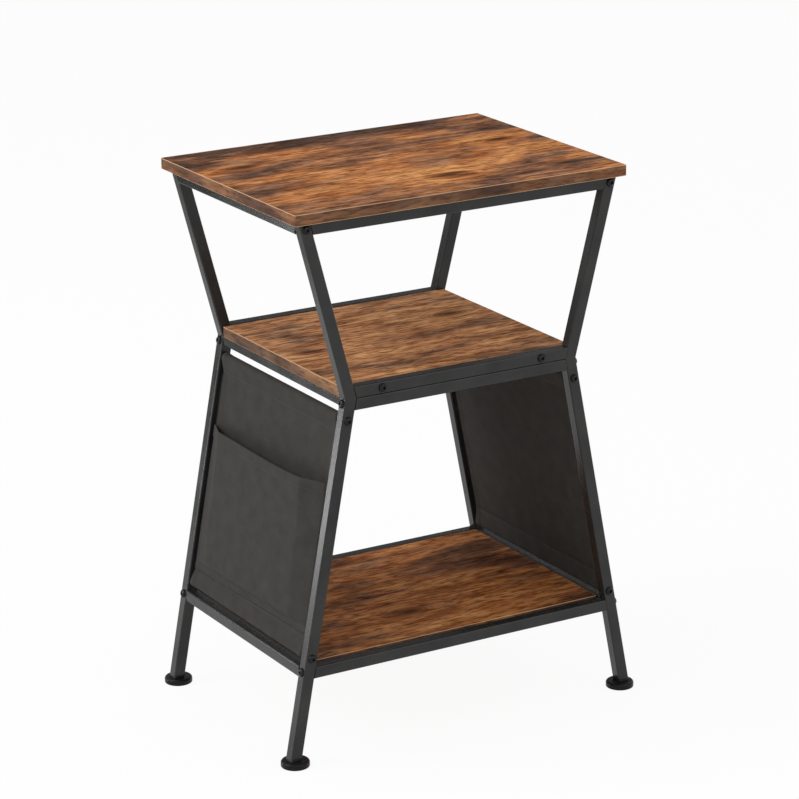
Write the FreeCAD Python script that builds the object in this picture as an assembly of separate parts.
import FreeCAD, Part
import math
import os

from FreeCAD import Placement, Rotation, Vector

os.makedirs("parts", exist_ok=True)

# Millimetres. X runs along the wide side of the table, the front is -Y, the floor is Z = 0.
# Whole table
TABLE_HEIGHT = 600.0
TOP_WIDTH = 400.0
TOP_DEPTH = 300.0
TOP_SIDE_OVERHANG = 8.0
TOP_FRONT_OVERHANG = 7.0

# Boards
BOARD_THICKNESS = 12.0
BOARD_CORNER_RADIUS = 2.0
BOARD_EDGE_RADIUS = 0.8
MIDDLE_SHELF_GAP = 0.5
BOTTOM_SHELF_FRONT_GAP = 2.5
BOTTOM_SHELF_SIDE_GAP = 2.5

# Square steel tube of the frame
TUBE = 13.0
SLIM_TUBE = 10.0
TUBE_WALL = 1.0
TUBE_CORNER_RADIUS = 1.6
TUBE_INNER_RADIUS = 0.6

# Frame, drawn in at the waist; widths are over the outside of the legs
WAIST_WIDTH = 283.0
WAIST_HEIGHT = 395.0
FLOOR_WIDTH = 432.0
BASE_RAIL_UNDERSIDE = 96.0

# Cloth panels, their rods and pockets
CLOTH = 1.2
TOP_ROD_HEIGHT = 372.0
BOTTOM_ROD_HEIGHT = 119.0
ROD_DIAMETER = 8.0
SLEEVE_CLEARANCE = 0.2
HEM_DEPTH = 16.0
PANEL_END_GAP = 2.0
POCKET_MOUTH_HEIGHT = 300.0
POCKET_FOOT_HEIGHT = 138.0
POCKET_MOUTH_DEPTH = 17.0
POCKET_FOOT_DEPTH = 5.0
GUSSET_RUN_SHARE = 2.5

# Screw feet
PAD_DIAMETER = 31.0
PAD_HEIGHT = 7.0
PAD_TOP_RADIUS = 2.6
PAD_BOTTOM_RADIUS = 1.2
PAD_LEG_GAP = 0.3
STEM_DIAMETER = 6.0
STEM_HEAD_DIAMETER = 12.0
STEM_HEAD_HEIGHT = 2.0
STEM_HEAD_HEIGHT_ABOVE_FLOOR = 2.0
STEM_TIP_CHAMFER = 0.8
STEM_RUN_OUT = 1.5
THREAD_CLEARANCE = 0.1
PAD_CLEARANCE = 0.3
PLUG_LENGTH = 18.0
FIT_CLEARANCE = 0.1

# Socket bolts with a domed head, and the nuts that they turn in
BOLT_DIAMETER = 5.0
BOLT_HEAD_DIAMETER = 9.5
BOLT_HEAD_HEIGHT = 2.8
BOLT_HEAD_RIM = 0.5
BOLT_SOCKET_WIDTH = 3.2
BOLT_SOCKET_DEPTH = 1.7
BOLT_TIP_CHAMFER = 0.6
HOLE_CLEARANCE = 0.2
END_NUT_LENGTH = 10.0
END_NUT_ENGAGEMENT = 8.0
ROD_ENGAGEMENT = 12.0
TIP_SPACE = 1.0
WELD_NUT_WIDTH = 8.0
WELD_NUT_HEIGHT = 4.0
JOINING_BOLT_X = 60.0

# Screws into the boards
SHELF_SCREW_X = 97.5
SHELF_SCREW_BITE = 24.0
WOOD_SCREW_DIAMETER = 3.6
WOOD_SCREW_HEAD_DIAMETER = 7.0
WOOD_SCREW_HEAD_HEIGHT = 2.2
WOOD_SCREW_TIP = 2.4
WOOD_SCREW_BITE = 9.0
TOP_SCREW_X = 120.0

# Tabs that carry the bottom shelf
TAB_WIDTH = 22.0
TAB_REACH = 18.0
TAB_THICKNESS = 2.0
TAB_X = 125.0

# How far a cutter runs past what it cuts
OVERRUN = 5.0

# Shape of a domed head and of a screw's head: the middle of the rounding
DOME_MIDDLE_SHARES = (0.80, 0.74)
DOME_FLAT_SHARE = 0.42

X = Vector(1, 0, 0)
Y = Vector(0, 1, 0)
Z = Vector(0, 0, 1)
SIDES = {"left": -1, "right": 1}
ENDS = {"front": -1, "back": 1}
CORNERS = [(end, side) for end in ENDS for side in SIDES]

# Places worked out from the sizes above
UNDER_TOP = TABLE_HEIGHT - BOARD_THICKNESS
FRAME_DEPTH = TOP_DEPTH - 2 * TOP_FRONT_OVERHANG
FRAME_TOP_WIDTH = TOP_WIDTH - 2 * TOP_SIDE_OVERHANG
LEG_Y = FRAME_DEPTH / 2 - TUBE / 2
INNER_Y = FRAME_DEPTH / 2 - TUBE
UPPER_LEAN = math.atan2((FRAME_TOP_WIDTH - WAIST_WIDTH) / 2, UNDER_TOP - WAIST_HEIGHT)
LOWER_LEAN = math.atan2((WAIST_WIDTH - FLOOR_WIDTH) / 2, WAIST_HEIGHT)
LEG_FOOT = PAD_HEIGHT + PAD_LEG_GAP
TOP_RAIL_Z = UNDER_TOP - TUBE / 2
WAIST_RAIL_Z = WAIST_HEIGHT + TUBE / 2
WAIST_BEAM_Z = WAIST_HEIGHT - TUBE / 2
WAIST_SIDE_RAIL_Z = WAIST_HEIGHT - SLIM_TUBE / 2
BASE_RAIL_Z = BASE_RAIL_UNDERSIDE + TUBE / 2
BOTTOM_SHELF_UNDERSIDE = BASE_RAIL_UNDERSIDE + TAB_THICKNESS
PANEL_HALF = INNER_Y - PANEL_END_GAP


def outer_x(lean, z):
    """Half the frame's width over the legs at a height."""
    return WAIST_WIDTH / 2 + math.tan(lean) * (z - WAIST_HEIGHT)


def middle_x(lean, z):
    return outer_x(lean, z) - TUBE / 2 / math.cos(lean)


def inner_x(lean, z):
    return outer_x(lean, z) - TUBE / math.cos(lean)


def joined(shapes):
    return Part.makeCompound(shapes)


def one_solid(shape):
    return shape.removeSplitter().Solids[0]


def turned(shape, start, direction, own_axis=Z):
    """The shape with its own axis laid along a direction from a start point."""
    shape.Placement = Placement(start, Rotation(own_axis, direction))
    return shape


def rounded_square(size, radius):
    """Level square face with round corners about the origin."""
    half = size / 2
    flat = half - radius
    bend = flat + radius * math.sqrt(0.5)
    corners = [(1, -1), (1, 1), (-1, 1), (-1, -1)]
    edges = []
    for (sx, sy), (nx, ny) in zip(corners, corners[1:] + corners[:1]):
        first, last = Vector(sx * flat, sy * half), Vector(sx * half, sy * flat)
        if sx * sy > 0:
            first, last = last, first
        edges.append(Part.Arc(first, Vector(sx * bend, sy * bend), last).toShape())
        next_first = Vector(nx * half, ny * flat) if nx * ny > 0 else Vector(nx * flat, ny * half)
        edges.append(Part.LineSegment(last, next_first).toShape())
    return Part.Face(Part.Wire(edges))


def bar(size, radius, start, direction, length):
    """Solid bar of rounded square section."""
    return turned(rounded_square(size, radius).extrude(Z * length), start, direction)


def tube(size, start, direction, length):
    """Hollow square tube."""
    bore = bar(size - 2 * TUBE_WALL, TUBE_INNER_RADIUS, start - direction * OVERRUN, direction,
               length + 2 * OVERRUN)
    return bar(size, TUBE_CORNER_RADIUS, start, direction, length).cut(bore)


def rod(diameter, start, direction, length):
    return Part.makeCylinder(diameter / 2, length, start, direction)


def box(low, high):
    size = high - low
    return Part.makeBox(size.x, size.y, size.z, low)


def level_slab(low, high):
    """Everything between two heights."""
    reach = FLOOR_WIDTH + TOP_WIDTH
    return box(Vector(-reach, -reach, low), Vector(reach, reach, high))


def between_legs(lean, low, high):
    """Everything between the inner faces of the left and right legs, past two heights."""
    low, high = low - OVERRUN, high + OVERRUN
    outline = [(-inner_x(lean, low), low), (inner_x(lean, low), low),
               (inner_x(lean, high), high), (-inner_x(lean, high), high)]
    points = [Vector(x, -FRAME_DEPTH, z) for x, z in outline]
    return Part.Face(Part.makePolygon(points + points[:1])).extrude(Y * (2 * FRAME_DEPTH))


def leg_direction(lean, side):
    return Vector(SIDES[side] * math.sin(lean), 0, math.cos(lean))


def inward(lean, side):
    """Square to a leg's outer side face, pointing into the leg."""
    return Vector(-SIDES[side] * math.cos(lean), 0, math.sin(lean))


def leg_point(lean, end, side, z):
    """Point on a leg's middle line."""
    return Vector(SIDES[side] * middle_x(lean, z), ENDS[end] * LEG_Y, z)


# Where bolts sit: the middle of the face under the head, and the way the shank points

def y_bolt(lean, end, side, z):
    """Bolt from the front or the back, square through a leg."""
    point = leg_point(lean, end, side, z)
    return Vector(point.x, ENDS[end] * FRAME_DEPTH / 2, z), Y * -ENDS[end]


def x_bolt(end, side, z):
    """Bolt from the outer side, square through a lower leg."""
    direction = inward(LOWER_LEAN, side)
    return leg_point(LOWER_LEAN, end, side, z) - direction * (TUBE / 2), direction


def top_bolt(end, side):
    return y_bolt(UPPER_LEAN, end, side, TOP_RAIL_Z)


def rod_bolts(end, side):
    return [y_bolt(LOWER_LEAN, end, side, z) for z in (TOP_ROD_HEIGHT, BOTTOM_ROD_HEIGHT)]


def rail_bolts(end, side):
    return [x_bolt(end, side, z) for z in (WAIST_BEAM_Z, BASE_RAIL_Z)]


def shelf_screw(end, side):
    return Vector(SIDES[side] * SHELF_SCREW_X, ENDS[end] * FRAME_DEPTH / 2, WAIST_RAIL_Z), Y * -ENDS[end]


def joining_bolt(end, side):
    """Upright bolt whose head sits inside the waist beam, under its upper wall."""
    return Vector(SIDES[side] * JOINING_BOLT_X, ENDS[end] * LEG_Y, WAIST_HEIGHT - TUBE_WALL), Z


def top_screws():
    """Two screws up out of the front and back rails, one out of each side rail, their heads inside the rails."""
    seat_z = UNDER_TOP - TUBE_WALL
    seats = [Vector(SIDES[side] * TOP_SCREW_X, ENDS[end] * LEG_Y, seat_z) for end, side in CORNERS]
    seats += [Vector(SIDES[side] * middle_x(UPPER_LEAN, TOP_RAIL_Z), 0, seat_z) for side in SIDES]
    return [(seat, Z) for seat in seats]


def base_side_rail_x():
    return middle_x(LOWER_LEAN, BASE_RAIL_Z)


def tab_places():
    """Middle of each tab's welded edge, and the way that the tab reaches."""
    places = [(Vector(SIDES[side] * TAB_X, ENDS[end] * INNER_Y, 0), Y * -ENDS[end]) for end, side in CORNERS]
    edge = base_side_rail_x() - TUBE / 2
    places += [(Vector(SIDES[side] * edge, 0, 0), X * -SIDES[side]) for side in SIDES]
    return places


def tab_screws():
    return [(edge + reach * (TAB_REACH / 2) + Z * BASE_RAIL_UNDERSIDE, Z) for edge, reach in tab_places()]


def hole(place, diameter, length):
    """Round cutter that starts above the seat of a bolt or screw."""
    seat, direction = place
    return rod(diameter + 2 * HOLE_CLEARANCE, seat - direction * OVERRUN, direction, length + OVERRUN)


def drilled(shape, places, diameter, length):
    for place in places:
        shape = shape.cut(hole(place, diameter, length))
    return one_solid(shape)


def with_access(rail, places, head_diameter):
    """A rail with holes in its lower wall, for the heads of upright fasteners and for the driver."""
    mouths = [(seat - direction * (TUBE - TUBE_WALL), direction) for seat, direction in places]
    return drilled(rail, mouths, head_diameter, TUBE / 2)


# Fasteners

def domed_profile(head_diameter, head_height, rim, shank_diameter, length, tip, tip_diameter):
    """Half section of a headed fastener: the head above Z = 0, the shank below."""
    head, shank = head_diameter / 2, shank_diameter / 2
    dome = head_height - rim
    rise_share, reach_share = DOME_MIDDLE_SHARES[1], DOME_MIDDLE_SHARES[0]
    rim_end = Vector(head, 0, rim)
    dome_middle = Vector(head * reach_share, 0, rim + dome * rise_share)
    dome_end = Vector(head * DOME_FLAT_SHARE, 0, head_height)
    lower = [dome_end, Vector(0, 0, head_height), Vector(0, 0, -length), Vector(tip_diameter / 2, 0, -length),
             Vector(shank, 0, tip - length), Vector(shank, 0, 0), Vector(head, 0, 0), rim_end]
    lower = [point for n, point in enumerate(lower) if n == 0 or point != lower[n - 1]]
    edges = [Part.LineSegment(a, b).toShape() for a, b in zip(lower, lower[1:])]
    edges.append(Part.Arc(rim_end, dome_middle, dome_end).toShape())
    return Part.Face(Part.Wire(edges))


def hexagon(width, height, base):
    """Upright six-sided prism, its width across the flats along Y."""
    radius = width / 2 / math.cos(math.pi / 6)
    points = [Vector(radius * math.cos(n * math.pi / 3), radius * math.sin(n * math.pi / 3), base)
              for n in range(6)]
    return Part.Face(Part.makePolygon(points + points[:1])).extrude(Z * height)


def socket_bolt(place, length):
    profile = domed_profile(BOLT_HEAD_DIAMETER, BOLT_HEAD_HEIGHT, BOLT_HEAD_RIM, BOLT_DIAMETER, length,
                            BOLT_TIP_CHAMFER, BOLT_DIAMETER - 2 * BOLT_TIP_CHAMFER)
    socket = hexagon(BOLT_SOCKET_WIDTH, BOLT_SOCKET_DEPTH + OVERRUN, BOLT_HEAD_HEIGHT - BOLT_SOCKET_DEPTH)
    bolt = profile.revolve(Vector(), Z, 360).cut(socket)
    return turned(one_solid(bolt), place[0], place[1], Z * -1)


def wood_screw(place, length):
    profile = domed_profile(WOOD_SCREW_HEAD_DIAMETER, WOOD_SCREW_HEAD_HEIGHT, 0, WOOD_SCREW_DIAMETER,
                            length, WOOD_SCREW_TIP, 0)
    return turned(profile.revolve(Vector(), Z, 360), place[0], place[1], Z * -1)


def end_nut(place, start, direction):
    """Threaded block in the end of a rail, from the rail's middle line at its end."""
    size = TUBE - 2 * TUBE_WALL - 2 * FIT_CLEARANCE
    block = bar(size, TUBE_INNER_RADIUS, start, direction, END_NUT_LENGTH)
    return one_solid(block.cut(hole(place, BOLT_DIAMETER, TUBE + END_NUT_ENGAGEMENT)))


def leaning_end_nut(end, side, z):
    """Threaded block whose outer face lies along the leaning leg."""
    place = x_bolt(end, side, z)
    middle = Vector(SIDES[side] * inner_x(LOWER_LEAN, z), ENDS[end] * LEG_Y, z)
    direction = X * -SIDES[side]
    size = TUBE - 2 * TUBE_WALL - 2 * FIT_CLEARANCE
    block = bar(size, TUBE_INNER_RADIUS, middle - direction * TUBE, direction, TUBE + END_NUT_LENGTH)
    block = block.common(between_legs(LOWER_LEAN, z - TUBE, z + TUBE))
    return one_solid(block.cut(hole(place, BOLT_DIAMETER, TUBE + END_NUT_ENGAGEMENT)))


# Boards

def board(half_x, half_y, underside):
    """Flat board with slightly broken edges."""
    plate = box(Vector(-half_x, -half_y, underside), Vector(half_x, half_y, underside + BOARD_THICKNESS))
    upright = [edge for edge in plate.Edges if abs(edge.tangentAt(edge.FirstParameter).z) > 0.5]
    plate = plate.makeFillet(BOARD_CORNER_RADIUS, upright)
    level = [edge for face in plate.Faces if abs(face.normalAt(0, 0).z) > 0.5 for edge in face.Edges]
    return plate.makeFillet(BOARD_EDGE_RADIUS, level)


def top_board():
    plate = board(TOP_WIDTH / 2, TOP_DEPTH / 2, UNDER_TOP)
    return drilled(plate, top_screws(), WOOD_SCREW_DIAMETER, TUBE_WALL + WOOD_SCREW_BITE + HOLE_CLEARANCE)


def middle_shelf():
    plate = board(WAIST_WIDTH / 2, INNER_Y - MIDDLE_SHELF_GAP, WAIST_HEIGHT)
    screws = [shelf_screw(end, side) for end, side in CORNERS]
    return drilled(plate, screws, BOLT_DIAMETER, TUBE + SHELF_SCREW_BITE + TIP_SPACE)


def bottom_shelf():
    half_x = base_side_rail_x() - TUBE / 2 - BOTTOM_SHELF_SIDE_GAP
    plate = board(half_x, INNER_Y - BOTTOM_SHELF_FRONT_GAP, BOTTOM_SHELF_UNDERSIDE)
    return drilled(plate, tab_screws(), WOOD_SCREW_DIAMETER, TAB_THICKNESS + WOOD_SCREW_BITE + HOLE_CLEARANCE)


# Frame tubes

def leg(lean, end, side, low, high):
    """Leaning leg, cut level at both ends."""
    direction = leg_direction(lean, side)
    start = leg_point(lean, end, side, low) - direction * TUBE
    length = (high - low) / math.cos(lean) + 2 * TUBE
    return tube(TUBE, start, direction, length).common(level_slab(low, high))


def upper_leg(end, side):
    post = leg(UPPER_LEAN, end, side, WAIST_HEIGHT, UNDER_TOP)
    return drilled(post, [top_bolt(end, side)], BOLT_DIAMETER, TUBE + OVERRUN)


def lower_leg(end, side):
    post = leg(LOWER_LEAN, end, side, LEG_FOOT, WAIST_HEIGHT)
    return drilled(post, rod_bolts(end, side) + rail_bolts(end, side), BOLT_DIAMETER, TUBE + OVERRUN)


def cross_rail(lean, end, z):
    """Tube from left leg to right leg, its ends cut to lie on their leaning faces."""
    reach = max(inner_x(lean, z - TUBE), inner_x(lean, z + TUBE))
    rail = tube(TUBE, Vector(-reach, ENDS[end] * LEG_Y, z), X, 2 * reach)
    return one_solid(rail.common(between_legs(lean, z - TUBE, z + TUBE)))


def side_rail(size, x, z):
    """Tube from front leg to back leg."""
    return tube(size, Vector(x, -INNER_Y, z), Y, 2 * INNER_Y)


def top_cross_rail(end):
    screws = [place for place in top_screws() if place[0].y * ENDS[end] > 0]
    rail = drilled(cross_rail(UPPER_LEAN, end, TOP_RAIL_Z), screws, WOOD_SCREW_DIAMETER, OVERRUN)
    return with_access(rail, screws, WOOD_SCREW_HEAD_DIAMETER)


def top_side_rail(side):
    x = SIDES[side] * middle_x(UPPER_LEAN, TOP_RAIL_Z)
    screws = [place for place in top_screws() if place[0].y == 0 and place[0].x * SIDES[side] > 0]
    rail = drilled(side_rail(TUBE, x, TOP_RAIL_Z), screws, WOOD_SCREW_DIAMETER, OVERRUN)
    return with_access(rail, screws, WOOD_SCREW_HEAD_DIAMETER)


def waist_rail(end):
    """Foot rail of the upper frame, beside the middle shelf."""
    rail = cross_rail(UPPER_LEAN, end, WAIST_RAIL_Z)
    rail = drilled(rail, [shelf_screw(end, side) for side in SIDES], BOLT_DIAMETER, TUBE + OVERRUN)
    bolts = [joining_bolt(end, side) for side in SIDES]
    return drilled(rail, bolts, BOLT_DIAMETER, TUBE / 2)


def waist_beam(end):
    """Head rail of the lower frame, under the waist rail."""
    bolts = [joining_bolt(end, side) for side in SIDES]
    beam = drilled(cross_rail(LOWER_LEAN, end, WAIST_BEAM_Z), bolts, BOLT_DIAMETER, OVERRUN)
    return with_access(beam, bolts, BOLT_HEAD_DIAMETER)


def waist_side_rail(side):
    x = SIDES[side] * middle_x(LOWER_LEAN, WAIST_SIDE_RAIL_Z)
    return side_rail(SLIM_TUBE, x, WAIST_SIDE_RAIL_Z)


def bottom_shelf_tabs():
    """Plates welded inside the base rails, each with a screw hole."""
    tabs = []
    for (edge, reach), screw in zip(tab_places(), tab_screws()):
        along = Vector(reach.y, reach.x, 0) * (TAB_WIDTH / 2)
        low = edge + Z * BASE_RAIL_UNDERSIDE
        points = [low - along, low + along, low + along + reach * TAB_REACH, low - along + reach * TAB_REACH]
        plate = Part.Face(Part.makePolygon(points + points[:1])).extrude(Z * TAB_THICKNESS)
        tabs.append(drilled(plate, [screw], WOOD_SCREW_DIAMETER, TAB_THICKNESS + OVERRUN))
    return joined(tabs)


# Cloth panels on their rods; a panel is drawn along the lean of the legs

def panel_point(side, along, out, y):
    """Point from its distance up along the legs' middle plane, its stand-off and its depth."""
    start = Vector(SIDES[side] * middle_x(LOWER_LEAN, 0), y, 0)
    return start + leg_direction(LOWER_LEAN, side) * along - inward(LOWER_LEAN, side) * out


def along_at(z):
    return z / math.cos(LOWER_LEAN)


def sleeve_tangent(radius):
    """Where the hem's straight flank meets the round sleeve, from the sleeve's middle."""
    hem_out = CLOTH / 2
    distance = math.hypot(HEM_DEPTH, hem_out)
    turn = math.acos(radius / distance) - math.atan2(hem_out, HEM_DEPTH)
    return radius * math.cos(turn), radius * math.sin(turn)


def side_panel(side):
    """Sheet with a sewn sleeve round each rod."""
    bore = ROD_DIAMETER / 2 + SLEEVE_CLEARANCE
    radius = bore + CLOTH
    low, high = along_at(BOTTOM_ROD_HEIGHT), along_at(TOP_ROD_HEIGHT)
    back_off, out = sleeve_tangent(radius)
    half = CLOTH / 2

    def place(along, stand_off):
        return panel_point(side, along, stand_off, -PANEL_HALF)

    ring = [place(low + HEM_DEPTH, half), place(high - HEM_DEPTH, half), place(high - back_off, out)]
    turn_top = Part.Arc(ring[-1], place(high + radius, 0), place(high - back_off, -out)).toShape()
    down = [place(high - back_off, -out), place(high - HEM_DEPTH, -half), place(low + HEM_DEPTH, -half),
            place(low + back_off, -out)]
    turn_foot = Part.Arc(down[-1], place(low - radius, 0), place(low + back_off, out)).toShape()
    rise = [place(low + back_off, out), ring[0]]
    edges = [Part.LineSegment(a, b).toShape() for a, b in zip(ring, ring[1:])] + [turn_top]
    edges += [Part.LineSegment(a, b).toShape() for a, b in zip(down, down[1:])] + [turn_foot]
    edges += [Part.LineSegment(a, b).toShape() for a, b in zip(rise, rise[1:])]
    sheet = Part.Face(Part.Wire(edges)).extrude(Y * (2 * PANEL_HALF))
    for along in (low, high):
        start = panel_point(side, along, 0, -PANEL_HALF - OVERRUN)
        sheet = sheet.cut(rod(2 * bore, start, Y, 2 * PANEL_HALF + 2 * OVERRUN))
    return one_solid(sheet)


def pocket_depth(along):
    """How far the pocket's outer face stands off the panel, at a place up the panel."""
    low, high = along_at(POCKET_FOOT_HEIGHT), along_at(POCKET_MOUTH_HEIGHT)
    share = (along - low) / (high - low)
    return POCKET_FOOT_DEPTH + (POCKET_MOUTH_DEPTH - POCKET_FOOT_DEPTH) * share


def pocket_section(side, along, inset):
    """Flat front between two sloping gussets, as a level outline on the panel."""
    gusset = math.atan2(1, GUSSET_RUN_SHARE)
    depth = pocket_depth(along) - inset
    foot = PANEL_HALF - inset / math.sin(gusset)
    front = foot - GUSSET_RUN_SHARE * depth
    base = CLOTH / 2
    outline = [(-foot, base), (-front, base + depth), (front, base + depth), (foot, base)]
    points = [panel_point(side, along, out, y) for y, out in outline]
    return Part.makePolygon(points + points[:1])


def pocket(side):
    """Shallow bag on the outside of a panel, open at the top and widest there."""
    low, high = along_at(POCKET_FOOT_HEIGHT), along_at(POCKET_MOUTH_HEIGHT) + OVERRUN
    outside = Part.makeLoft([pocket_section(side, low, 0), pocket_section(side, high, 0)], True, True)
    inside = Part.makeLoft([pocket_section(side, low + CLOTH, CLOTH),
                            pocket_section(side, high + OVERRUN, CLOTH)], True, True)
    return one_solid(outside.cut(inside).common(level_slab(0, POCKET_MOUTH_HEIGHT)))


def panel_rod(side, height):
    """Round rod between two legs, tapped at both ends."""
    x = SIDES[side] * middle_x(LOWER_LEAN, height)
    bolts = [y_bolt(LOWER_LEAN, end, side, height) for end in ENDS]
    straight = rod(ROD_DIAMETER, Vector(x, -INNER_Y, height), Y, 2 * INNER_Y)
    return drilled(straight, bolts, BOLT_DIAMETER, TUBE + ROD_ENGAGEMENT + TIP_SPACE)


# Screw feet; each stands upright under the middle of its leg's threaded plug

def foot_middle(end, side):
    return leg_point(LOWER_LEAN, end, side, LEG_FOOT + PLUG_LENGTH / 2)


def leg_end_plug(end, side):
    """Threaded plug in the open foot of a leg."""
    size = TUBE - 2 * TUBE_WALL - 2 * FIT_CLEARANCE
    direction = leg_direction(LOWER_LEAN, side)
    start = leg_point(LOWER_LEAN, end, side, LEG_FOOT) - direction * TUBE
    plug = bar(size, TUBE_INNER_RADIUS, start, direction, PLUG_LENGTH + 3 * TUBE)
    plug = plug.common(level_slab(LEG_FOOT, LEG_FOOT + PLUG_LENGTH))
    middle = foot_middle(end, side)
    bore = rod(STEM_DIAMETER + 2 * THREAD_CLEARANCE, Vector(middle.x, middle.y, 0), Z, WAIST_HEIGHT)
    return one_solid(plug.cut(bore))


def stem_shape(gap):
    """Stem with its round head, grown all round by a gap."""
    head_foot = STEM_HEAD_HEIGHT_ABOVE_FLOOR - gap
    head = rod(STEM_HEAD_DIAMETER + 2 * gap, Z * head_foot, Z, STEM_HEAD_HEIGHT + 2 * gap)
    length = LEG_FOOT + PLUG_LENGTH + STEM_RUN_OUT - STEM_HEAD_HEIGHT_ABOVE_FLOOR
    shank = rod(STEM_DIAMETER + 2 * gap, Z * STEM_HEAD_HEIGHT_ABOVE_FLOOR, Z, length)
    return one_solid(head.fuse(shank))


def moved_to_foot(shape, end, side):
    middle = foot_middle(end, side)
    shape.Placement = Placement(Vector(middle.x, middle.y, 0), Rotation())
    return shape


def foot_stem(end, side):
    stem = stem_shape(0)
    tip = [edge for edge in stem.Edges if edge.BoundBox.ZMin > LEG_FOOT + PLUG_LENGTH]
    return moved_to_foot(stem.makeChamfer(STEM_TIP_CHAMFER, tip), end, side)


def foot_pad(end, side):
    """Round glide with a flat sole, a small lower and a large upper rounding."""
    radius = PAD_DIAMETER / 2
    bend = 1 - math.sqrt(0.5)
    sole = Vector(radius - PAD_BOTTOM_RADIUS, 0, 0)
    wall_foot = Vector(radius, 0, PAD_BOTTOM_RADIUS)
    wall_head = Vector(radius, 0, PAD_HEIGHT - PAD_TOP_RADIUS)
    crown = Vector(radius - PAD_TOP_RADIUS, 0, PAD_HEIGHT)
    low_middle = Vector(radius - PAD_BOTTOM_RADIUS * bend, 0, PAD_BOTTOM_RADIUS * bend)
    high_middle = Vector(radius - PAD_TOP_RADIUS * bend, 0, PAD_HEIGHT - PAD_TOP_RADIUS * bend)
    edges = [Part.LineSegment(Vector(), sole), Part.Arc(sole, low_middle, wall_foot),
             Part.LineSegment(wall_foot, wall_head), Part.Arc(wall_head, high_middle, crown),
             Part.LineSegment(crown, Z * PAD_HEIGHT), Part.LineSegment(Z * PAD_HEIGHT, Vector())]
    disc = Part.Face(Part.Wire([edge.toShape() for edge in edges])).revolve(Vector(), Z, 360)
    return moved_to_foot(one_solid(disc.cut(stem_shape(PAD_CLEARANCE))), end, side)


# Groups of fasteners

def frame_bolts(places, bite):
    return joined([socket_bolt(place, TUBE + bite) for place in places])


def top_rail_end_nuts():
    nuts = []
    for end, side in CORNERS:
        start = Vector(top_bolt(end, side)[0].x, ENDS[end] * INNER_Y, TOP_RAIL_Z)
        nuts.append(end_nut(top_bolt(end, side), start, Y * -ENDS[end]))
    return joined(nuts)


def weld_nuts():
    """Nuts on the floor of each waist rail, over the joining bolts."""
    nuts = []
    for end, side in CORNERS:
        nut = hexagon(WELD_NUT_WIDTH, WELD_NUT_HEIGHT, 0)
        nut.Placement = Placement(joining_bolt(end, side)[0] + Z * (2 * TUBE_WALL), Rotation())
        nuts.append(drilled(nut, [joining_bolt(end, side)], BOLT_DIAMETER, TUBE))
    return joined(nuts)


def all_pieces():
    pieces = {"top_board": top_board(), "middle_shelf": middle_shelf(), "bottom_shelf": bottom_shelf()}
    for end, side in CORNERS:
        pieces[f"upper_leg_{end}_{side}"] = upper_leg(end, side)
        pieces[f"lower_leg_{end}_{side}"] = lower_leg(end, side)
        pieces[f"leg_end_plug_{end}_{side}"] = leg_end_plug(end, side)
        pieces[f"foot_stem_{end}_{side}"] = foot_stem(end, side)
        pieces[f"foot_pad_{end}_{side}"] = foot_pad(end, side)
    for end in ENDS:
        pieces[f"top_rail_{end}"] = top_cross_rail(end)
        pieces[f"waist_rail_{end}"] = waist_rail(end)
        pieces[f"waist_beam_{end}"] = waist_beam(end)
        pieces[f"base_rail_{end}"] = cross_rail(LOWER_LEAN, end, BASE_RAIL_Z)
    for side in SIDES:
        pieces[f"top_rail_{side}"] = top_side_rail(side)
        pieces[f"waist_side_rail_{side}"] = waist_side_rail(side)
        pieces[f"base_rail_{side}"] = side_rail(TUBE, SIDES[side] * base_side_rail_x(), BASE_RAIL_Z)
        pieces[f"side_panel_{side}"] = side_panel(side)
        pieces[f"side_pocket_{side}"] = pocket(side)
        pieces[f"panel_rod_top_{side}"] = panel_rod(side, TOP_ROD_HEIGHT)
        pieces[f"panel_rod_bottom_{side}"] = panel_rod(side, BOTTOM_ROD_HEIGHT)

    pieces["top_rail_bolts"] = frame_bolts([top_bolt(*corner) for corner in CORNERS], END_NUT_ENGAGEMENT)
    rail_places = [rail_bolts(*corner) for corner in CORNERS]
    pieces["waist_beam_bolts"] = frame_bolts([places[0] for places in rail_places], END_NUT_ENGAGEMENT)
    pieces["base_rail_bolts"] = frame_bolts([places[1] for places in rail_places], END_NUT_ENGAGEMENT)
    rod_places = [place for corner in CORNERS for place in rod_bolts(*corner)]
    pieces["panel_rod_bolts"] = frame_bolts(rod_places, ROD_ENGAGEMENT)
    pieces["middle_shelf_screws"] = frame_bolts([shelf_screw(*corner) for corner in CORNERS], SHELF_SCREW_BITE)
    joining_length = 2 * TUBE_WALL + WELD_NUT_HEIGHT + TIP_SPACE
    joining_bolts = [socket_bolt(joining_bolt(*corner), joining_length) for corner in CORNERS]
    pieces["frame_joining_bolts"] = joined(joining_bolts)
    pieces["weld_nuts"] = weld_nuts()
    pieces["top_rail_end_nuts"] = top_rail_end_nuts()
    pieces["waist_beam_end_nuts"] = joined([leaning_end_nut(*corner, WAIST_BEAM_Z) for corner in CORNERS])
    pieces["base_rail_end_nuts"] = joined([leaning_end_nut(*corner, BASE_RAIL_Z) for corner in CORNERS])
    top_screw_length = TUBE_WALL + WOOD_SCREW_BITE
    pieces["top_board_screws"] = joined([wood_screw(place, top_screw_length) for place in top_screws()])
    tab_screw_length = TAB_THICKNESS + WOOD_SCREW_BITE
    pieces["bottom_shelf_screws"] = joined([wood_screw(place, tab_screw_length) for place in tab_screws()])
    pieces["bottom_shelf_tabs"] = bottom_shelf_tabs()
    return pieces


for name, shape in all_pieces().items():
    shape.exportStep(f"parts/{name}.step")
    print(f"{name}: {len(shape.Solids)} solids, {shape.Volume:.0f} mm3, valid {shape.isValid()}")
